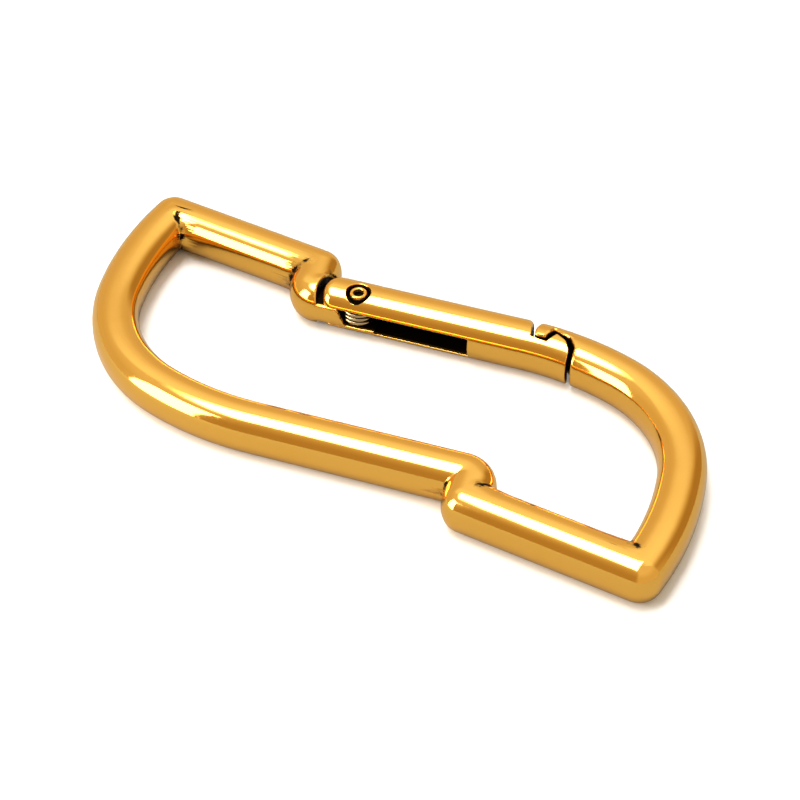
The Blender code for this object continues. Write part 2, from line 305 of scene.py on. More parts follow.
# %% [markdown]
# ## The hinge and the latch
#
# The frame's knuckle has a round socket, and a tongue stands in it that reaches into the gate's
# fork. The tongue carries one ear under the spring, and the rivet goes through that ear. At the
# other end the gate hooks behind the frame's nose, along a seam with a tooth, so that a load
# pulls the two together. Sizes along the gate are from the rivet, and sizes across it are
# positive outwards.

# %% Sizes of the hinge
GATE_END_RADIUS = 3.95
GATE_END_SOFT = 0.95
SOCKET_RADIUS = 4.55
SLOT_TOP = 1.00
SLOT_BOTTOM = -1.45
SLOT_END = 12.85
SLOT_FLOOR = 1.60
TONGUE_GAP = 0.04
TONGUE_EDGE = 1.45
EAR_TOP = -1.05
EAR_RADIUS = 1.9
EAR_END = 2.4
EAR_STOP = 0.2
RECESS_RADIUS = 1.95
PIN_BORE = 1.20
EAR_BORE = 1.22
COUNTERBORE = 1.35
COUNTERBORE_DEPTH = 1.0
WIRE = 0.38
COIL_RADIUS = 1.59
COIL_PITCH = 0.52
COIL_TURNS = 3
BODY_LEG = (15.0, 3.0)  # angle to the gate, length
GATE_LEG = (5.0, 3.7)
SLIT_GAP = 0.10
SLIT_LEAD = 0.2
WEB_END = (-1.90, -1.05)  # along, at the tongue's top and at the ear's top
EAR_TIP_SLOPE = 0.55
OVERCUT = 0.1
TONGUE_TOP = SLOT_TOP - TONGUE_GAP
TONGUE_BOTTOM = SLOT_BOTTOM + TONGUE_GAP
COIL_START = EAR_TOP + WIRE / 2 + 0.04

# How far each edge is rounded, from crisp ones in the slot to the softly polished outer ones.
CRISP = 0.08
SOFT = 0.22
SEAM_SOFT = 0.16
NOTCH_SOFT = 0.60
NOTCH_STARTS = 1.2
NOTCH_RAMP = 1.1

# %% The latch seam, from outside to inside the loop: along, across, corner radius
GATE_SEAM = (
    (18.70, 3.50, 0.0),
    (19.38, -1.02, 0.12),
    (21.15, -1.27, 0.12),
    (21.95, 0.05, 0.18),
    (23.10, -0.65, 1.20),
    (23.80, -1.80, 1.20),
    (23.80, -3.50, 0.0),
)
NOSE_SEAM = (
    (19.55, 3.50, 0.0),
    (19.66, -0.72, 0.40),
    (20.90, -0.68, 0.08),
    (21.48, 0.86, 0.12),
    (23.45, -0.05, 1.20),
    (24.28, -1.30, 1.20),
    (24.33, -3.50, 0.0),
)


def rounded_outline(corners):
    """The points of an open outline whose corners are rounded with arcs."""
    places = [np.array(corner[:2]) for corner in corners]
    dots = [places[0]]
    for k in range(1, len(corners) - 1):
        start, centre, end, _ = fillet(*places[k - 1 : k + 2], corners[k][2])
        dots += arc_dots(start, centre, end) if corners[k][2] else [start]
    return np.array([*dots, places[-1]])


# %% The distance to an outline, below 0 inside it
def outline_field(plan, outline):
    nearest = np.full(len(plan), 1e9)
    inside = np.zeros(len(plan), bool)
    for start, end in zip(outline, np.roll(outline, -1, axis=0)):
        along = end - start
        offset = plan - start
        share = np.clip(offset @ along / (along @ along), 0.0, 1.0)
        gap = offset - share[:, None] * along
        nearest = np.minimum(nearest, (gap**2).sum(axis=1))
        if start[1] != end[1]:
            crosses = (start[1] > plan[:, 1]) != (end[1] > plan[:, 1])
            reach = along[0] * offset[:, 1] / along[1]
            inside ^= crosses & (offset[:, 0] < reach)
    return np.where(inside, -1.0, 1.0) * np.sqrt(nearest)


# %% Where the gate is, seen from above: the room that the frame leaves for it
FAR = 9.0


def seam_outline(seam):
    return rounded_outline(seam) - [0.0, HINGE_ACROSS]


def gate_room():
    edge = TONGUE_EDGE - HINGE_ACROSS
    first = math.degrees(math.asin(edge / SOCKET_RADIUS))
    hub = np.zeros(2)
    dots = arc_dots(SOCKET_RADIUS * direction(180.0 - first), hub, (0.0, SOCKET_RADIUS), 3.0)
    dots += [(0.0, FAR), (NOSE_SEAM[0][0], FAR)]
    dots += list(seam_outline(NOSE_SEAM))
    dots += [(NOSE_SEAM[-1][0], -FAR), (EAR_END, -FAR), (EAR_END, EAR_STOP - HINGE_ACROSS)]
    dots += arc_dots(EAR_RADIUS * direction(60.0), hub, (0.0, EAR_RADIUS), 5.0)
    dots += [(-EAR_RADIUS, edge)]
    return np.array(dots)


def past_gate():
    seam = seam_outline(GATE_SEAM)
    return np.array([*seam, [4 * FAR, -FAR], [4 * FAR, FAR], [seam[0][0], FAR]])


def over_ear():
    """The room over the ear, seen along the bar's width: along, up."""
    low = TONGUE_BOTTOM - OVERCUT
    return np.array(
        [
            (WEB_END[0], FAR),
            (WEB_END[0], TONGUE_TOP),
            (WEB_END[1], EAR_TOP),
            (EAR_END, EAR_TOP),
            (EAR_END - EAR_TIP_SLOPE, low),
            (SOCKET_RADIUS, low),
            (SOCKET_RADIUS, FAR),
        ]
    )


GATE_ROOM = gate_room()
PAST_GATE = past_gate()
OVER_EAR = over_ear()
print(f"the gate's room has {len(GATE_ROOM)} points, and the gate's seam {len(PAST_GATE)}")

# %% The frame's and the gate's fields
# How far the hinge and the latch reach from the rivet: least along, most along, most across.
CUT_REGION = (-6.0, 28.0, 6.0)
LEAST_ROOT = 0.5


def hinge_place(points):
    """Along the gate, across it and up, from the rivet's axis."""
    offset = points[:, :2] - HINGE
    return np.column_stack([offset @ GATE_WAY, offset @ GATE_SIDE, points[:, 2]])


def seam_edge(across):
    """The seam's edges are crisp on top and softer at the notch on the outer side."""
    outer = smooth_step((across - HINGE_ACROSS - NOTCH_STARTS) / NOTCH_RAMP)
    return SEAM_SOFT + (NOTCH_SOFT - SEAM_SOFT) * outer


def leg_slit(place):
    """The slit in the tongue's web that holds the spring's leg."""
    turned = np.radians(BODY_LEG[0])
    along = place[:, 0] * np.cos(turned) + place[:, 1] * np.sin(turned)
    across = place[:, 1] * np.cos(turned) - place[:, 0] * np.sin(turned)
    wide = WIRE / 2 + SLIT_GAP
    ends = np.maximum(along, -along - BODY_LEG[1] - SLIT_LEAD)
    sides = np.maximum(np.abs(across - COIL_RADIUS), np.abs(place[:, 2] - COIL_START)) - wide
    return np.maximum(ends, sides)


def frame_field(points):
    solid = bar_field(points)
    place = hinge_place(points)
    least, most, side = CUT_REGION
    near = (place[:, 0] > least) & (place[:, 0] < most) & (np.abs(place[:, 1]) < side)
    place = place[near]
    along, across, up = place.T
    turning = np.hypot(along, across)
    socket = turning - SOCKET_RADIUS
    body = solid[near]
    body = soft_cut(body, np.maximum(socket, TONGUE_TOP - up), SOFT)
    body = soft_cut(body, np.maximum(socket, up - TONGUE_BOTTOM), SOFT)
    body = soft_cut(body, outline_field(place[:, :2], GATE_ROOM), seam_edge(across))
    body = soft_cut(body, outline_field(place[:, ::2], OVER_EAR), CRISP)
    body = soft_cut(body, np.maximum(turning - RECESS_RADIUS, EAR_TOP - up), CRISP)
    body = soft_cut(body, turning - EAR_BORE, CRISP)
    body = soft_cut(body, leg_slit(place), CRISP)
    solid[near] = body
    return solid


def gate_field(points):
    place = hinge_place(points)
    along, across, up = place.T
    turning = np.hypot(along, across)
    root = np.sqrt(np.maximum(GATE_END_RADIUS**2 - across**2, LEAST_ROOT))
    round_end = (-along - root) * root / GATE_END_RADIUS
    body = soft_cut(bar_field(points), -round_end, GATE_END_SOFT)
    floor = across - SLOT_FLOOR + HINGE_ACROSS
    slot = np.max([along - SLOT_END, floor, up - SLOT_TOP, SLOT_BOTTOM - up], axis=0)
    body = soft_cut(body, slot, CRISP)
    sink = np.maximum(turning - COUNTERBORE, BAR_HEIGHT / 2 - COUNTERBORE_DEPTH - np.abs(up))
    body = soft_cut(body, turning - PIN_BORE, CRISP)
    body = soft_cut(body, sink, CRISP)
    return soft_cut(body, outline_field(place[:, :2], PAST_GATE), seam_edge(across))


# %% [markdown]
# ## From the coarse solid to the polished skin
#
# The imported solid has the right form, but flat facets, and polished metal shows each facet as a
# kink in a highlight. The skin is made in three steps. A remesh gives the solid small even faces.
# A Geometry Nodes tree then pushes every point that lies near the bar's surface straight out from
# the centre line onto the superellipse: that rule shapes nearly the whole hook, and its sizes are
# the tree's inputs. Last, the points are settled onto the fields above, which also hold the
# rounded edges, and each point takes its normal from the field, so that a highlight runs without
# a ripple.

# %% A helper for every node tree
def add_node(tree, kind, inputs=None, **settings):
    """Adds a node with its settings. An input takes a value, a socket, or a node's first output."""
    node = tree.nodes.new(kind)
    for name, value in settings.items():
        setattr(node, name, value)
    for key, value in (inputs or {}).items():
        if isinstance(value, bpy.types.Node):
            value = value.outputs[0]
        if isinstance(value, bpy.types.NodeSocket):
            tree.links.new(value, node.inputs[key])
        else:
            node.inputs[key].default_value = value
    return node


def new_tree(name, sockets):
    """A Geometry Nodes tree with one mesh output and these inputs, and its input node."""
    tree = bpy.data.node_groups.new(name, "GeometryNodeTree")
    tree.interface.new_socket("Geometry", in_out="OUTPUT", socket_type="NodeSocketGeometry")
    for socket_name, kind in sockets.items():
        tree.interface.new_socket(socket_name, in_out="INPUT", socket_type=kind)
    return tree, add_node(tree, "NodeGroupInput")


def fill_inputs(modifier, values):
    """Sets a Geometry Nodes modifier's inputs through their identifiers."""
    for item in modifier.node_group.interface.items_tree:
        if item.in_out == "INPUT" and item.name in values:
            modifier[item.identifier] = values[item.name]


# %% The tree that pushes the skin onto the bar's section
def bar_skin_tree():
    tree, given = new_tree(
        "bar_skin",
        {
            "Geometry": "NodeSocketGeometry",
            "Centre Line": "NodeSocketObject",
            "Width": "NodeSocketFloat",
            "Height": "NodeSocketFloat",
            "Power": "NodeSocketFloat",
            "Reach": "NodeSocketFloat",
            "Material": "NodeSocketMaterial",
        },
    )
    value = given.outputs
    line = add_node(tree, "GeometryNodeObjectInfo", {"Object": value["Centre Line"]})
    nearest = add_node(
        tree,
        "GeometryNodeProximity",
        {"Geometry": line.outputs["Geometry"]},
        target_element="EDGES",
    )
    here = add_node(tree, "GeometryNodeInputPosition")
    arm = add_node(tree, "ShaderNodeVectorMath", {0: here, 1: nearest}, operation="SUBTRACT")
    level = add_node(
        tree, "ShaderNodeVectorMath", {0: arm, 1: (1.0, 1.0, 0.0)}, operation="MULTIPLY"
    )
    distance = add_node(tree, "ShaderNodeVectorMath", {0: level}, operation="LENGTH")
    height = add_node(tree, "ShaderNodeSeparateXYZ", {0: arm}).outputs["Z"]
    terms = []
    for size, full in ((distance.outputs["Value"], "Width"), (height, "Height")):
        size = add_node(tree, "ShaderNodeMath", {0: size}, operation="ABSOLUTE")
        half = add_node(tree, "ShaderNodeMath", {0: value[full], 1: 0.5}, operation="MULTIPLY")
        share = add_node(tree, "ShaderNodeMath", {0: size, 1: half}, operation="DIVIDE")
        terms.append(
            add_node(tree, "ShaderNodeMath", {0: share, 1: value["Power"]}, operation="POWER")
        )
    total = add_node(tree, "ShaderNodeMath", {0: terms[0], 1: terms[1]}, operation="ADD")
    inverse = add_node(
        tree, "ShaderNodeMath", {0: 1.0, 1: value["Power"]}, operation="DIVIDE"
    )
    times_out = add_node(tree, "ShaderNodeMath", {0: total, 1: inverse}, operation="POWER")
    off = add_node(tree, "ShaderNodeMath", {0: times_out, 1: 1.0}, operation="SUBTRACT")
    off = add_node(tree, "ShaderNodeMath", {0: off}, operation="ABSOLUTE")
    close = add_node(tree, "ShaderNodeMath", {0: off, 1: value["Reach"]}, operation="LESS_THAN")
    shrink = add_node(tree, "ShaderNodeMath", {0: 1.0, 1: times_out}, operation="DIVIDE")
    fitted = add_node(
        tree, "ShaderNodeVectorMath", {0: arm, "Scale": shrink}, operation="SCALE"
    )
    target = add_node(tree, "ShaderNodeVectorMath", {0: nearest, 1: fitted}, operation="ADD")
    moved = add_node(
        tree,
        "GeometryNodeSetPosition",
        {"Geometry": value["Geometry"], "Selection": close, "Position": target},
    )
    real = add_node(tree, "GeometryNodeRealizeInstances", {"Geometry": moved})
    done = add_node(
        tree, "GeometryNodeSetMaterial", {"Geometry": real, "Material": value["Material"]}
    )
    add_node(tree, "NodeGroupOutput", {"Geometry": done})
    return tree


BAR_SKIN = bar_skin_tree()
print(f"bar_skin has {len(BAR_SKIN.nodes)} nodes")

# %% The centre line as an object that the tree can read
def line_object():
    mesh = bpy.data.meshes.new("centre_line")
    count = len(LINE_DOTS)
    dots = [(*dot, 0.0) for dot in LINE_DOTS]
    mesh.from_pydata(dots, [(k, (k + 1) % count) for k in range(count)], [])
    obj = bpy.data.objects.new("centre_line", mesh)
    bpy.context.scene.collection.objects.link(obj)
    return obj


CENTRE_LINE = line_object()

# %% Steps that every skin goes through
def merged_copy(node):
    """A CAD node's solid as one closed mesh, in mm."""
    body = bmesh.new()
    body.from_mesh(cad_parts[node].data)
    bmesh.ops.remove_doubles(body, verts=body.verts, dist=1e-7)
    for vertex in body.verts:
        vertex.co = Vector(vertex.co) / MM - Vector(MIDDLE)
    mesh = bpy.data.meshes.new(node + "_solid")
    body.to_mesh(mesh)
    body.free()
    obj = bpy.data.objects.new(node + "_solid", mesh)
    bpy.context.scene.collection.objects.link(obj)
    return obj


def baked(obj, name):
    """What an object's modifiers make of it, as a plain mesh. The object itself is removed."""
    graph = bpy.context.evaluated_depsgraph_get()
    graph.update()
    mesh = bpy.data.meshes.new_from_object(obj.evaluated_get(graph), depsgraph=graph)
    mesh.name = name
    bpy.data.objects.remove(obj, do_unlink=True)
    return mesh


def mesh_points(mesh):
    points = np.empty(len(mesh.vertices) * 3)
    mesh.vertices.foreach_get("co", points)
    return points.reshape(-1, 3)


# %% Settling points onto a field
SLOPE_STEP = 0.004
LEAST_SLOPE = 0.05
MOST_MOVE = 0.08


def slopes(field, points, step):
    sides = [field(points + step * axis) - field(points - step * axis) for axis in np.eye(3)]
    return np.array(sides).T / (2 * step)


def settle(field, points, rounds):
    """Moves each point straight down or up the field to where it is 0."""
    for _ in range(rounds):
        slope = slopes(field, points, SLOPE_STEP)
        steep = np.maximum((slope**2).sum(axis=1), LEAST_SLOPE)
        move = field(points)[:, None] * slope / steep[:, None]
        length = np.linalg.norm(move, axis=1, keepdims=True)
        points = points - move * np.minimum(1.0, MOST_MOVE / np.maximum(length, 1e-9))
    return points


def relax(points, edges, share):
    """Moves each point towards the middle of its neighbours, which evens out the faces."""
    total = np.zeros_like(points)
    count = np.zeros(len(points))
    for here, there in (edges.T, edges.T[::-1]):
        for axis in range(3):
            total[:, axis] += np.bincount(here, points[there, axis], len(points))
        count += np.bincount(here, minlength=len(points))
    return points + share * (total / count[:, None] - points)


# %% Making one polished skin
PUSH_REACH = 0.05
NORMAL_STEP = 0.012
FIRST_ROUNDS = 4
LAST_ROUNDS = 3
RELAX_SHARE = 0.4
OFF_FIELD = 0.02


def polished_skin(node, field, voxel, triangles, material):
    """The piece that stands for a CAD node: fine, smooth, and with soft edges."""
    solid = merged_copy(node)
    remesh = solid.modifiers.new("even_faces", "REMESH")
    remesh.mode = "VOXEL"
    remesh.voxel_size = voxel
    skin = solid.modifiers.new("bar_skin", "NODES")
    skin.node_group = BAR_SKIN
    sizes = {"Width": BAR_WIDTH, "Height": BAR_HEIGHT, "Power": BAR_POWER, "Reach": PUSH_REACH}
    fill_inputs(skin, {**sizes, "Centre Line": CENTRE_LINE, "Material": material})
    mesh = baked(solid, node)
    whole = sum(len(face.vertices) - 2 for face in mesh.polygons)

    thin = bpy.data.objects.new(node + "_thin", mesh)
    bpy.context.scene.collection.objects.link(thin)
    decimate = thin.modifiers.new("fewer_faces", "DECIMATE")
    decimate.ratio = min(1.0, triangles / whole)
    decimate.use_collapse_triangulate = True
    mesh = baked(thin, node)

    edges = np.empty(len(mesh.edges) * 2, int)
    mesh.edges.foreach_get("vertices", edges)
    points = settle(field, mesh_points(mesh), FIRST_ROUNDS)
    points = settle(field, relax(points, edges.reshape(-1, 2), RELAX_SHARE), LAST_ROUNDS)
    off = (np.abs(field(points)) > OFF_FIELD).sum()
    normals = slopes(field, points, NORMAL_STEP)
    normals /= np.linalg.norm(normals, axis=1, keepdims=True)

    # The depth under the skin and the nearness to a crease drive the painted shade in the gold
    # finish.
    for name, values in (
        ("depth", np.maximum(-bar_field(points), 0.0)),
        ("crease", crease_nearness(points)),
    ):
        attribute = mesh.attributes.new(name, "FLOAT", "POINT")
        attribute.data.foreach_set("value", values.astype(np.float32))
    mesh.vertices.foreach_set("co", ((points + MIDDLE) * MM).ravel())
    mesh.shade_smooth()
    mesh.normals_split_custom_set_from_vertices(normals.tolist())
    mesh.update()
    print(f"{node}: {whole} triangles thinned to {len(mesh.polygons)}; {off} points off the field")
    return mesh


def new_piece(name, mesh, body, node):
    """Puts a finished mesh in the scene, on its body and in place of its CAD node."""
    obj = bpy.data.objects.new(name, mesh)
    bpy.context.scene.collection.objects.link(obj)
    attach(obj, body)
    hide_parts(node)
    return obj


# %% [markdown]
# ## Finishes
#
# The loop and the rivet are cast and turned, polished by hand on a wheel, and then plated with a
# hard gold-coloured film. The film is a metal, so its colour is the colour of its reflections.
# The wheel leaves a faint waviness a few millimetres wide and hair-fine marks. The walls of the
# slot, the seam and the rivet's groove are painted nearly black and rough, as painted shade for
# the dark that falls in so narrow a gap. The creases get patches of painted shade mixed with
# polish residue. The spring is bright drawn wire, but its colour is painted darker and tinted
# gold, as painted shade in the slot and painted reflection of the gold round it.

# %% Colours
def linear(code):
    """An sRGB hex colour as linear red, green, blue and alpha."""
    shares = [int(code[k : k + 2], 16) / 255 for k in (1, 3, 5)]
    levels = [s / 12.92 if s <= 0.04045 else ((s + 0.055) / 1.055) ** 2.4 for s in shares]
    return (*levels, 1.0)


def new_material(name):
    """An empty node material: its tree, its shader and its object coordinates."""
    material = bpy.data.materials.new(name)
    material.use_nodes = True
    tree = material.node_tree
    tree.nodes.clear()
    shader = add_node(tree, "ShaderNodeBsdfPrincipled")
    add_node(tree, "ShaderNodeOutputMaterial", {"Surface": shader})
    place = add_node(tree, "ShaderNodeTexCoord").outputs["Object"]
    return material, tree, shader, place


# %% Gold-coloured film on a polished casting
PER_METRE = 1000.0  # one cycle for each millimetre


def gold_film():
    material, tree, shader, place = new_material("gold_pvd_on_polished_casting")
    shader.inputs["Metallic"].default_value = 1.0

    # Painted shade from the depth under the bar's skin: from 0 on the polished outside to 1 down in
    # the slots, the seam and the rivet's groove.
    depth = add_node(tree, "ShaderNodeAttribute", attribute_name="depth")
    painted_slot_shade = add_node(
        tree,
        "ShaderNodeMapRange",
        {"Value": depth.outputs["Fac"], "From Min": 0.10, "From Max": 0.40},
        interpolation_type="SMOOTHSTEP",
    )

    # Painted shade and polish residue in the creases, which noise 0.9 mm wide breaks up into
    # patches.
    crease = add_node(tree, "ShaderNodeAttribute", attribute_name="crease")
    patches = add_node(
        tree, "ShaderNodeTexNoise", {"Vector": place, "Scale": PER_METRE / 0.9, "Detail": 3.0}
    )
    crease_shade_and_residue = add_node(
        tree,
        "ShaderNodeMath",
        {0: patches, 1: 1.3, 2: crease.outputs["Fac"]},
        operation="MULTIPLY_ADD",
    )
    crease_shade_and_residue = add_node(
        tree,
        "ShaderNodeMapRange",
        {"Value": crease_shade_and_residue, "From Min": 1.28, "From Max": 1.60},
        interpolation_type="SMOOTHSTEP",
    )
    # Both painted marks, the shade in the slots and the shade and residue in the creases, turn the
    # gold nearly black and rough.
    dark = add_node(tree, "ShaderNodeMath", {0: painted_slot_shade, 1: crease_shade_and_residue}, operation="MAXIMUM")

    # Slow drift of the film's thickness, which shifts the gold a little, about 6 mm wide.
    drift = add_node(
        tree, "ShaderNodeTexNoise", {"Vector": place, "Scale": PER_METRE / 6, "Detail": 2.0}
    )
    gold = add_node(
        tree,
        "ShaderNodeMix",
        {"Factor": drift, 6: linear("#FBBB52"), 7: linear("#FDC05C")},
        data_type="RGBA",
    )
    colour = add_node(
        tree,
        "ShaderNodeMix",
        {"Factor": dark, 6: gold.outputs[2], 7: linear("#1A110A")},
        data_type="RGBA",
    )
    tree.links.new(colour.outputs[2], shader.inputs["Base Color"])

    # Buffing marks, about 0.4 mm long and far finer across, make the gloss uneven.
    marks = add_node(
        tree, "ShaderNodeTexNoise", {"Vector": place, "Scale": PER_METRE / 0.4, "Detail": 4.0}
    )
    gloss = add_node(
        tree,
        "ShaderNodeMapRange",
        {"Value": marks, "From Min": 0.3, "From Max": 0.7, "To Min": 0.05, "To Max": 0.11},
    )
    rough = add_node(tree, "ShaderNodeMix", {"Factor": dark, 2: gloss.outputs["Result"], 3: 0.6})
    tree.links.new(rough.outputs[0], shader.inputs["Roughness"])

    # The wheel's waviness, 2.5 mm wide, and a grain of 0.12 mm, drawn coarser than the real one.
    waves = add_node(
        tree, "ShaderNodeTexNoise", {"Vector": place, "Scale": PER_METRE / 2.5, "Detail": 1.0}
    )
    grain = add_node(
        tree, "ShaderNodeTexNoise", {"Vector": place, "Scale": PER_METRE / 0.12, "Detail": 2.0}
    )
    wavy = add_node(
        tree,
        "ShaderNodeBump",
        {"Height": waves, "Strength": 0.25, "Distance": 0.04 * MM},
    )
    grainy = add_node(
        tree,
        "ShaderNodeBump",
        {"Height": grain, "Strength": 0.08, "Distance": 0.004 * MM, "Normal": wavy},
    )
    tree.links.new(grainy.outputs["Normal"], shader.inputs["Normal"])
    return material


GOLD = gold_film()

# %% Spring wire, painted darker and tinted gold as painted shade and painted reflection
def spring_wire():
    material, tree, shader, place = new_material("spring_steel_with_painted_shade_and_reflection")
    shader.inputs["Metallic"].default_value = 1.0
    tone = add_node(
        tree, "ShaderNodeTexNoise", {"Vector": place, "Scale": PER_METRE / 0.8, "Detail": 3.0}
    )
    # The wire is painted darker and more golden than bare steel: painted shade in the slot and
    # painted reflection of the gold round it.
    colour = add_node(
        tree,
        "ShaderNodeMix",
        {"Factor": tone, 6: linear("#A89270"), 7: linear("#CBB894")},
        data_type="RGBA",
    )
    tree.links.new(colour.outputs[2], shader.inputs["Base Color"])
    gloss = add_node(
        tree, "ShaderNodeMapRange", {"Value": tone, "To Min": 0.12, "To Max": 0.25}
    )
    tree.links.new(gloss.outputs["Result"], shader.inputs["Roughness"])
    return material


STEEL = spring_wire()
print("finishes:", GOLD.name, "and", STEEL.name)

# %% [markdown]
# ## The frame and the gate
#
# Both go through the same steps. The gate has the finer faces, because its slot and its seam are
# seen close up.

# %% Make both skins
FRAME_VOXEL = 0.12
GATE_VOXEL = 0.09
MOST_TRIANGLES = 185000

frame_skin = polished_skin("frame", frame_field, FRAME_VOXEL, MOST_TRIANGLES, GOLD)
new_piece("frame_casting", frame_skin, "frame", "frame")
gate_skin = polished_skin("gate", gate_field, GATE_VOXEL, MOST_TRIANGLES, GOLD)
new_piece("gate_casting", gate_skin, "gate", "gate")
bpy.data.objects.remove(CENTRE_LINE, do_unlink=True)

# %% [markdown]
# ## The rivet
#
# The rivet is semi-tubular: a shank with a drilled end, which the rivet set has rolled to a
# rounded ring with a dimple in it. It is turned from a profile, and its edges are arcs, because
# the set leaves no sharp edge.

# %% Turn the rivet
PIN_RADIUS = 1.15
RIVET_RING = 0.925
RIVET_DIMPLE = 0.58
RIVET_HEAD = 1.28
RIVET_TOP = 2.50
RIVET_BASE = 2.05
TURNED_SIDES = 96


def rivet_profile():
    """Radius and height from the head below to the bottom of the dimple above."""
    seat = BAR_HEIGHT / 2 - COUNTERBORE_DEPTH + 0.03
    corners = (
        (0.0, -RIVET_BASE, 0.0),
        (RIVET_HEAD, -RIVET_BASE, 0.20),
        (RIVET_HEAD, -seat - 0.02, 0.05),
        (PIN_RADIUS, -seat - 0.02, 0.03),
        (PIN_RADIUS, seat, 0.08),
        (RIVET_RING, seat, 0.04),
        (RIVET_RING, RIVET_TOP, 0.16),
        (RIVET_DIMPLE, RIVET_TOP, 0.14),
        (RIVET_DIMPLE - 0.10, RIVET_TOP - 0.60, 0.20),
        (0.0, RIVET_TOP - 0.75, 0.0),
    )
    return rounded_outline(corners)


def rivet_mesh():
    body = bmesh.new()
    verts = [body.verts.new((r, 0.0, z)) for r, z in rivet_profile()]
    edges = [body.edges.new(pair) for pair in zip(verts, verts[1:])]
    bmesh.ops.spin(
        body,
        geom=[*verts, *edges],
        cent=(0.0, 0.0, 0.0),
        axis=(0.0, 0.0, 1.0),
        angle=2 * math.pi,
        steps=TURNED_SIDES,
        use_merge=True,
    )
    bmesh.ops.remove_doubles(body, verts=body.verts, dist=1e-5)
    bmesh.ops.recalc_face_normals(body, faces=body.faces)
    offset = Vector((*HINGE, 0.0)) + Vector(MIDDLE)
    # How far each point lies below the ring's top: the gold finish paints the groove and the dimple
    # as nearly black painted shade.
    sunk = [RIVET_TOP - vertex.co.z if vertex.co.z > 0 else 0.0 for vertex in body.verts]
    for vertex in body.verts:
        vertex.co = (vertex.co + offset) * MM
    mesh = bpy.data.meshes.new("rivet")
    body.to_mesh(mesh)
    body.free()
    depth = mesh.attributes.new("depth", "FLOAT", "POINT")
    depth.data.foreach_set("value", sunk)
    mesh.shade_smooth()
    mesh.materials.append(GOLD)
    return mesh


rivet = new_piece("rivet", rivet_mesh(), "gate", "hinge_pin")
print(f"the rivet has {len(rivet.data.polygons)} faces")

# %% [markdown]
# ## The spring
#
# A torsion spring is one wire: a leg, a few turns round the rivet, and a second leg. Both legs
# leave the coil along its tangent, so one rule gives the whole wire: a point goes round the coil
# as far as the coil lasts, and what is left of its length goes straight on. The tree lays out a
# line of points by that rule and sweeps a round wire along it.

# %% The tree that winds the spring
WIRE_SIDES = 20
WIRE_POINTS = 400


def spring_tree():
    tree, given = new_tree(
        "torsion_spring",
        {
            "Wire": "NodeSocketFloat",
            "Coil Radius": "NodeSocketFloat",
            "Pitch": "NodeSocketFloat",
            "Turn": "NodeSocketFloat",
            "Start Angle": "NodeSocketFloat",
            "Start Height": "NodeSocketFloat",
            "Start Leg": "NodeSocketFloat",
            "End Leg": "NodeSocketFloat",
            "Points": "NodeSocketInt",
            "Material": "NodeSocketMaterial",
        },
    )
    value = given.outputs
    line = add_node(tree, "GeometryNodeMeshLine", {"Count": value["Points"]})
    index = add_node(tree, "GeometryNodeInputIndex")
    last = add_node(tree, "ShaderNodeMath", {0: value["Points"], 1: 1.0}, operation="SUBTRACT")
    share = add_node(tree, "ShaderNodeMath", {0: index, 1: last}, operation="DIVIDE")
    radius = value["Coil Radius"]

    # The angle that each point would have if the legs were wound too, from the coil's start.
    before, after = (
        add_node(tree, "ShaderNodeMath", {0: value[leg], 1: radius}, operation="DIVIDE")
        for leg in ("Start Leg", "End Leg")
    )
    whole = add_node(tree, "ShaderNodeMath", {0: before, 1: after}, operation="ADD")
    whole = add_node(tree, "ShaderNodeMath", {0: whole, 1: value["Turn"]}, operation="ADD")
    wound = add_node(tree, "ShaderNodeMath", {0: share, 1: whole}, operation="MULTIPLY")
    wound = add_node(tree, "ShaderNodeMath", {0: wound, 1: before}, operation="SUBTRACT")
    kept = add_node(tree, "ShaderNodeClamp", {"Value": wound, "Min": 0.0, "Max": value["Turn"]})
    spare = add_node(tree, "ShaderNodeMath", {0: wound, 1: kept}, operation="SUBTRACT")
    angle = add_node(
        tree, "ShaderNodeMath", {0: value["Start Angle"], 1: kept}, operation="SUBTRACT"
    )

    # The coil is wound clockwise, so its tangent is (sin, -cos) of the angle.
    cosine = add_node(tree, "ShaderNodeMath", {0: angle}, operation="COSINE")
    sine = add_node(tree, "ShaderNodeMath", {0: angle}, operation="SINE")
    minus = add_node(tree, "ShaderNodeMath", {0: spare, 1: -1.0}, operation="MULTIPLY")
    x = add_node(tree, "ShaderNodeMath", {0: spare, 1: sine, 2: cosine}, operation="MULTIPLY_ADD")
    y = add_node(tree, "ShaderNodeMath", {0: minus, 1: cosine, 2: sine}, operation="MULTIPLY_ADD")
    rise = add_node(
        tree, "ShaderNodeMath", {0: value["Pitch"], 1: 2 * math.pi}, operation="DIVIDE"
    )
    z = add_node(
        tree,
        "ShaderNodeMath",
        {0: kept, 1: rise, 2: value["Start Height"]},
        operation="MULTIPLY_ADD",
    )
    plan = add_node(tree, "ShaderNodeCombineXYZ", {"X": x, "Y": y})
    plan = add_node(tree, "ShaderNodeVectorMath", {0: plan, "Scale": radius}, operation="SCALE")
    up = add_node(tree, "ShaderNodeCombineXYZ", {"Z": z})
    place = add_node(tree, "ShaderNodeVectorMath", {0: plan, 1: up}, operation="ADD")

    laid = add_node(tree, "GeometryNodeSetPosition", {"Geometry": line, "Position": place})
    curve = add_node(tree, "GeometryNodeMeshToCurve", {"Mesh": laid})
    half = add_node(tree, "ShaderNodeMath", {0: value["Wire"], 1: 0.5}, operation="MULTIPLY")
    ring = add_node(
        tree,
        "GeometryNodeCurvePrimitiveCircle",
        {"Resolution": WIRE_SIDES, "Radius": half},
    )
    swept = add_node(
        tree,
        "GeometryNodeCurveToMesh",
        {"Curve": curve, "Profile Curve": ring, "Fill Caps": True},
    )
    real = add_node(tree, "GeometryNodeRealizeInstances", {"Geometry": swept})
    done = add_node(
        tree, "GeometryNodeSetMaterial", {"Geometry": real, "Material": value["Material"]}
    )
    add_node(tree, "NodeGroupOutput", {"Geometry": done})
    return tree


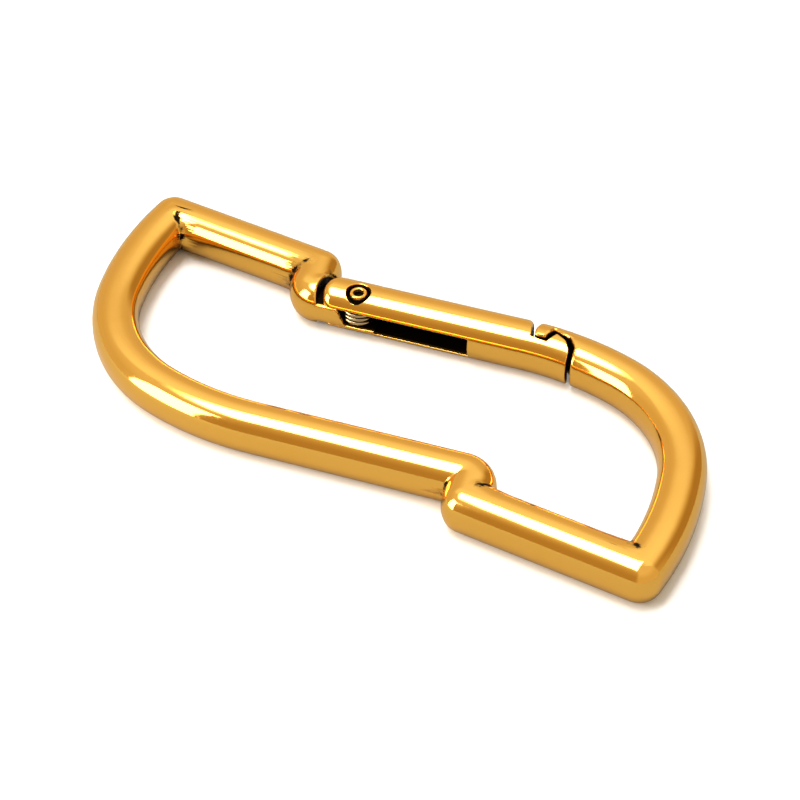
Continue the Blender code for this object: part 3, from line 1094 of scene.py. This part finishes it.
# %% Wind the spring and put it round the rivet
def wind_spring():
    holder = bpy.data.objects.new("winding", bpy.data.meshes.new("winding"))
    bpy.context.scene.collection.objects.link(holder)
    winding = holder.modifiers.new("torsion_spring", "NODES")
    winding.node_group = spring_tree()
    fill_inputs(
        winding,
        {
            "Wire": WIRE,
            "Coil Radius": COIL_RADIUS,
            "Pitch": COIL_PITCH,
            "Turn": 2 * math.pi * COIL_TURNS + math.radians(BODY_LEG[0] - GATE_LEG[0]),
            "Start Angle": math.radians(90.0 + BODY_LEG[0]),
            "Start Height": COIL_START,
            "Start Leg": BODY_LEG[1],
            "End Leg": GATE_LEG[1],
            "Points": WIRE_POINTS,
            "Material": STEEL,
        },
    )
    mesh = baked(holder, "spring")
    points = mesh_points(mesh)
    plan = points[:, :1] * GATE_WAY + points[:, 1:2] * GATE_SIDE + HINGE
    placed = np.column_stack([plan, points[:, 2]]) + MIDDLE
    mesh.vertices.foreach_set("co", (placed * MM).ravel())
    mesh.shade_smooth()
    mesh.update()
    return mesh


spring = bpy.data.objects.new("spring", wind_spring())
bpy.context.scene.collection.objects.link(spring)
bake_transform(spring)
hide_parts("torsion_spring")
print(f"the spring has {len(spring.data.polygons)} faces")

# %% [markdown]
# ## The studio
#
# Polished metal is a mirror, so its picture is a picture of the room. The room is a light tent
# with amber walls: a long softbox hangs over the hook, a tall lit card stands close by at the
# front left, and a narrow strip runs below the softbox's edge. The card is an area light and not
# a part of the far room, because it stands so close that each bar sees it in another place. The
# lights are about ten times as bright as the walls, since gold returns so little blue that a
# weaker light would look yellow and not white.
#
# The floor is a plain pale sheet. The metal sees it painted a darker grey than the camera does,
# as painted shade: the picture is exposed until the sheet is white, and the sheet close under a
# hook lies in its shadow.

# %% Camera
CAMERA_BEARING = 29.34
CAMERA_HEIGHT = 42.95
CAMERA_DISTANCE = 270.0
CAMERA_LENS = 117.46
CAMERA_SENSOR = 36.0
LOOK_AT = Vector((2.0, -1.47, 2.6))


def make_camera():
    data = bpy.data.cameras.new("camera")
    data.lens = CAMERA_LENS
    data.sensor_width = CAMERA_SENSOR
    data.clip_start = 0.01
    bearing = math.radians(CAMERA_BEARING)
    height = math.radians(CAMERA_HEIGHT)
    level = math.cos(height)
    back = Vector((math.sin(bearing) * level, -math.cos(bearing) * level, math.sin(height)))
    camera = bpy.data.objects.new("camera", data)
    camera.location = (LOOK_AT + back * CAMERA_DISTANCE) * MM
    camera.rotation_euler = back.to_track_quat("Z", "Y").to_euler()
    bpy.context.scene.collection.objects.link(camera)
    bpy.context.scene.camera = camera


make_camera()

# %% Floor
FLOOR_HALF = 1500.0
FLOOR_BELOW = 0.05


def make_floor():
    body = bmesh.new()
    bmesh.ops.create_grid(body, x_segments=8, y_segments=8, size=FLOOR_HALF * MM)
    mesh = bpy.data.meshes.new("floor")
    body.to_mesh(mesh)
    body.free()
    material, tree, shader, place = new_material("white_paper_painted_grey_for_reflections")
    fibres = add_node(tree, "ShaderNodeTexNoise", {"Vector": place, "Scale": PER_METRE / 5})
    paper = add_node(
        tree,
        "ShaderNodeMix",
        {"Factor": fibres, 6: linear("#F4F4F4"), 7: linear("#F7F7F7")},
        data_type="RGBA",
    )
    # Painted shade: every ray but the camera's sees the floor painted a darker grey.
    ray = add_node(tree, "ShaderNodeLightPath")
    colour = add_node(
        tree,
        "ShaderNodeMix",
        {"Factor": ray.outputs["Is Camera Ray"], 6: linear("#9B9D98"), 7: paper.outputs[2]},
        data_type="RGBA",
    )
    tree.links.new(colour.outputs[2], shader.inputs["Base Color"])
    shader.inputs["Roughness"].default_value = 0.9
    shader.inputs["Specular IOR Level"].default_value = 0.1
    mesh.materials.append(material)
    floor = bpy.data.objects.new("floor", mesh)
    floor.location.z = -FLOOR_BELOW * MM
    bpy.context.scene.collection.objects.link(floor)
    floor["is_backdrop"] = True


make_floor()

# %% The lit card at the front left: a light that the camera doesn't see
CARD_BEARING = -42.0
CARD_AWAY = 200.0
CARD_SIZE = (107.0, 190.0)
CARD_RADIANCE = 8.0
CARD_LIFT = 1.0


def make_card():
    data = bpy.data.lights.new("lit_card", "AREA")
    data.shape = "RECTANGLE"
    data.size = CARD_SIZE[0] * MM
    data.size_y = CARD_SIZE[1] * MM
    data.energy = CARD_RADIANCE * math.pi * data.size * data.size_y
    card = bpy.data.objects.new("lit_card", data)
    way = -direction(CARD_BEARING + 90.0)
    card.location = Vector((*(CARD_AWAY * way), CARD_SIZE[1] / 2 + CARD_LIFT)) * MM
    card.rotation_euler = Vector((*way, 0.0)).to_track_quat("Z", "Y").to_euler()
    card.visible_camera = False
    bpy.context.scene.collection.objects.link(card)


make_card()

# %% The room: bearing, height, half spans, softness in degrees, and how much light it adds
PANELS = {
    "overhead_softbox": ((-88.0, 74.5, 84.0, 11.5, 2.0), 10.0),
    "lower_strip": ((-80.0, 60.5, 52.0, 1.2, 0.8), 0.9),
    "back_wall": ((-165.0, 58.0, 60.0, 14.0, 10.0), 0.35),
    "front_gap": ((-8.0, 22.0, 22.0, 34.0, 10.0), -0.25),
    "right_gap": ((150.0, 8.0, 22.0, 26.0, 10.0), -0.30),
}


def panel(tree, bearing, height, spans):
    """1 inside a soft-edged patch of the room and 0 outside it."""
    middle, middle_up, half_wide, half_high, soft = spans
    masks = []
    for angle, centre, half in ((bearing, middle, half_wide), (height, middle_up, half_high)):
        away = add_node(tree, "ShaderNodeMath", {0: angle, 1: centre}, operation="SUBTRACT")
        away = add_node(tree, "ShaderNodeMath", {0: away, 1: -180.0, 2: 180.0}, operation="WRAP")
        away = add_node(tree, "ShaderNodeMath", {0: away}, operation="ABSOLUTE")
        masks.append(
            add_node(
                tree,
                "ShaderNodeMapRange",
                {
                    "Value": away,
                    "From Min": half - soft,
                    "From Max": half + soft,
                    "To Min": 1.0,
                    "To Max": 0.0,
                },
                interpolation_type="SMOOTHSTEP",
            )
        )
    return add_node(tree, "ShaderNodeMath", {0: masks[0], 1: masks[1]}, operation="MULTIPLY")


def amber(tree, light):
    """The colour of this much light: white when it is bright, and deeper amber when it is dim."""
    dim = add_node(tree, "ShaderNodeMath", {0: light, 1: 1.0}, operation="MINIMUM")
    shares = {"X": light}
    for axis, power in (("Y", 0.41), ("Z", 1.36)):
        tint = add_node(tree, "ShaderNodeMath", {0: dim, 1: power}, operation="POWER")
        shares[axis] = add_node(tree, "ShaderNodeMath", {0: light, 1: tint}, operation="MULTIPLY")
    return add_node(tree, "ShaderNodeCombineXYZ", shares)


def light_the_room():
    world = bpy.data.worlds.new("light_tent")
    world.use_nodes = True
    bpy.context.scene.world = world
    tree = world.node_tree
    tree.nodes.clear()
    way = add_node(tree, "ShaderNodeTexCoord").outputs["Generated"]
    parts = add_node(tree, "ShaderNodeSeparateXYZ", {0: way}).outputs
    forward = add_node(tree, "ShaderNodeMath", {0: parts["Y"], 1: -1.0}, operation="MULTIPLY")
    bearing = add_node(tree, "ShaderNodeMath", {0: parts["X"], 1: forward}, operation="ARCTAN2")
    bearing = add_node(tree, "ShaderNodeMath", {0: bearing}, operation="DEGREES")
    height = add_node(tree, "ShaderNodeMath", {0: parts["Z"]}, operation="ARCSINE")
    height = add_node(tree, "ShaderNodeMath", {0: height}, operation="DEGREES")
    light = add_node(
        tree,
        "ShaderNodeMapRange",
        {"Value": height, "From Min": 25.0, "From Max": 50.0, "To Min": 0.73, "To Max": 0.86},
    ).outputs["Result"]
    for spans, strength in PANELS.values():
        mask = panel(tree, bearing, height, spans)
        light = add_node(
            tree, "ShaderNodeMath", {0: mask, 1: strength, 2: light}, operation="MULTIPLY_ADD"
        )
    background = add_node(tree, "ShaderNodeBackground", {"Color": amber(tree, light)})
    add_node(tree, "ShaderNodeOutputWorld", {"Surface": background})


light_the_room()
bpy.context.scene.view_settings.view_transform = "Standard"

# %% Compare the sizes and finish
visual_box = [list(corner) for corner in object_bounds()]
grown = [round((b - a) / MM, 3) for a, b in zip(sum(cad_box, []), sum(visual_box, []))]
print("visual box less CAD box, in mm:", grown)
